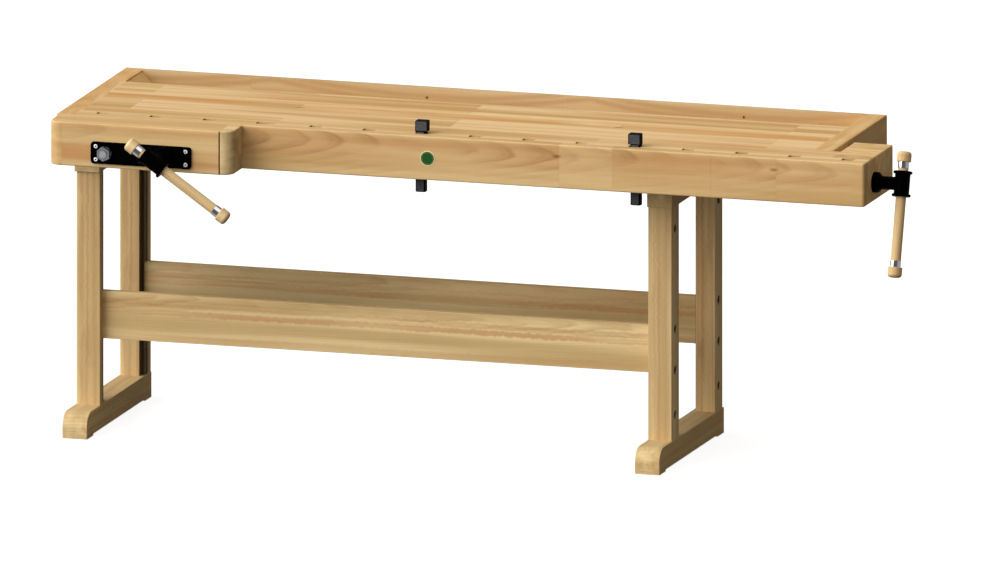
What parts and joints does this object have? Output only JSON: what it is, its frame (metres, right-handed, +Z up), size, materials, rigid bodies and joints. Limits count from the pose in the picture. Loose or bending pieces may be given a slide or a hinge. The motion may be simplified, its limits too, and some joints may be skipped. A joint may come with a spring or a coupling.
{
  "type": "woodworking bench",
  "caption": "Joiner's bench in light wood on two trestles, with a front vise, a tail vise, a row of dog holes, a tool well and steel bench dogs",
  "frame": {"origin": "on the floor, below the middle of the whole object's box with both vises closed", "axes": "+X to the right along the bench, +Y back from the front vise, +Z up"},
  "size_m": [2.383, 0.8522, 0.9355],
  "materials": {
    "beech_top": "oiled light hardwood, glued up from finger-jointed staves, satin",
    "beech_frame": "oiled light hardwood, planed, satin",
    "handle_wood": "turned light hardwood, smooth",
    "black_iron": "cast iron and plate, painted satin black",
    "bright_steel": "turned steel",
    "zinc_steel": "zinc-plated steel",
    "ferrule_metal": "polished nickel-plated ring",
    "badge_enamel": "plain dark green disc with a pale rim, no lettering",
    "dog_steel": "blackened steel, faces ground grey",
    "spring_steel": "blued spring steel"
  },
  "bodies": {
    "bench": {"front_board": "beech_top", "dog_hole_blocks": "beech_top", "beam_core": "beech_top", "top_slab": "beech_top", "left_end_cap": "beech_top", "right_end_cap": "beech_top", "end_cap_bolts": "zinc_steel", "end_cap_nuts": "zinc_steel", "back_board": "beech_top", "well_bottom": "beech_top", "well_ramps": "beech_top", "badge": "badge_enamel", "left_foot": "beech_frame", "right_foot": "beech_frame", "left_front_leg": "beech_frame", "left_rear_leg": "beech_frame", "right_front_leg": "beech_frame", "right_rear_leg": "beech_frame", "left_top_rail": "beech_frame", "right_top_rail": "beech_frame", "right_bearer": "beech_frame", "rail_bolts": "zinc_steel", "front_stretcher": "beech_frame", "rear_stretcher": "beech_frame", "stretcher_bolts": "zinc_steel", "stretcher_nuts": "zinc_steel", "front_vise_nut": "bright_steel", "front_guide_bracket": "beech_frame", "tail_core_block": "beech_top", "tail_vise_nut": "bright_steel", "tail_guide_bracket": "beech_frame", "bracket_screws": "zinc_steel"},
    "front_vise_jaw": {"front_jaw": "beech_top", "front_jaw_end_block": "beech_top", "front_vise_plate": "black_iron", "front_plate_screws": "zinc_steel", "front_guide_bar": "bright_steel", "front_guide_nut": "bright_steel", "front_screw_collar": "black_iron"},
    "front_vise_spindle": {"front_vise_screw": "bright_steel", "front_vise_hub": "black_iron"},
    "front_vise_handle": {"front_handle": "handle_wood", "front_handle_knobs": "handle_wood", "front_handle_ferrules": "ferrule_metal"},
    "tail_vise_carriage": {"tail_front_board": "beech_top", "tail_dog_hole_blocks": "beech_top", "tail_cover_board": "beech_top", "tail_jaw_block": "beech_top", "tail_end_block": "beech_top", "tail_guide_bar": "bright_steel", "tail_screw_collar": "black_iron"},
    "tail_vise_spindle": {"tail_vise_screw": "bright_steel", "tail_vise_hub": "black_iron"},
    "tail_vise_handle": {"tail_handle": "handle_wood", "tail_handle_knobs": "handle_wood", "tail_handle_ferrules": "ferrule_metal"},
    "left_dog": {"left_bench_dog": "dog_steel", "left_dog_spring": "spring_steel"},
    "right_dog": {"right_bench_dog": "dog_steel", "right_dog_spring": "spring_steel"}
  },
  "joints": [
    {"name": "front_vise_slide", "type": "slide", "parent": "bench", "child": "front_vise_jaw", "axis": [0, -1, 0], "range_m": [0, 0.1501]},
    {"name": "front_vise_turn", "type": "hinge", "parent": "front_vise_jaw", "child": "front_vise_spindle", "pos_m": [-0.8615, -0.32115, 0.822], "axis": [0, -1, 0], "range_deg": [0, 9000]},
    {"name": "front_handle_slide", "type": "slide", "parent": "front_vise_spindle", "child": "front_vise_handle", "axis": [0.8221, 0, -0.5693], "range_m": [-0.1732, 0.0072]},
    {"name": "tail_vise_slide", "type": "slide", "parent": "bench", "child": "tail_vise_carriage", "axis": [1, 0, 0], "range_m": [0, 0.1501]},
    {"name": "tail_vise_turn", "type": "hinge", "parent": "tail_vise_carriage", "child": "tail_vise_spindle", "pos_m": [1.0865, -0.12485, 0.832], "axis": [1, 0, 0], "range_deg": [0, 9000]},
    {"name": "tail_handle_slide", "type": "slide", "parent": "tail_vise_spindle", "child": "tail_vise_handle", "axis": [0, -0.279, -0.9603], "range_m": [-0.1732, 0.0072]},
    {"name": "left_dog_slide", "type": "slide", "parent": "bench", "child": "left_dog", "axis": [0, 0, 1], "range_m": [-0.0355, 0.045]},
    {"name": "right_dog_slide", "type": "slide", "parent": "bench", "child": "right_dog", "axis": [0, 0, 1], "range_m": [-0.0355, 0.045]}
  ],
  "couplings": [
    {"joint": "front_vise_slide", "follows": "front_vise_turn", "m_per_rad": 0.00095493},
    {"joint": "tail_vise_slide", "follows": "tail_vise_turn", "m_per_rad": 0.00095493}
  ]
}
